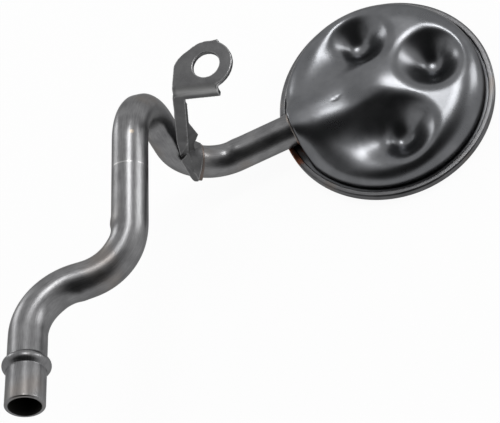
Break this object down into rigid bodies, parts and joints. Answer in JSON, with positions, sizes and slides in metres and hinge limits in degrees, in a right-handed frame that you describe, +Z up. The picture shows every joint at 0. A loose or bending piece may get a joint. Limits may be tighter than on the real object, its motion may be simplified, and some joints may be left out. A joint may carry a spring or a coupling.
{
  "type": "oil pickup tube",
  "caption": "Bent steel oil suction tube with a beaded outlet spigot, a folded bolt-on bracket and a dimpled round strainer head with a wire screen underneath.",
  "frame": {"origin": "centre of the bracket's bolt hole, on the upper face of the ear", "axes": "+Z up along the bolt hole, away from the strainer's screen; +X from the first bend towards the strainer, along the strainer leg of the tube; -Y towards the outlet"},
  "size_m": [0.2348, 0.1764, 0.1192],
  "materials": {
    "tube_steel": "satin",
    "bracket_steel": "matte",
    "pressed_steel": "satin",
    "rim_steel": "satin",
    "screen_wire": "satin",
    "copper_braze": "satin"
  },
  "bodies": {
    "root": {"pickup_tube": "tube_steel", "mounting_bracket": "bracket_steel", "strainer_cover": "pressed_steel", "screen_retainer": "rim_steel", "screen": "screen_wire", "strainer_braze": "copper_braze", "bracket_braze": "copper_braze"}
  },
  "joints": []
}
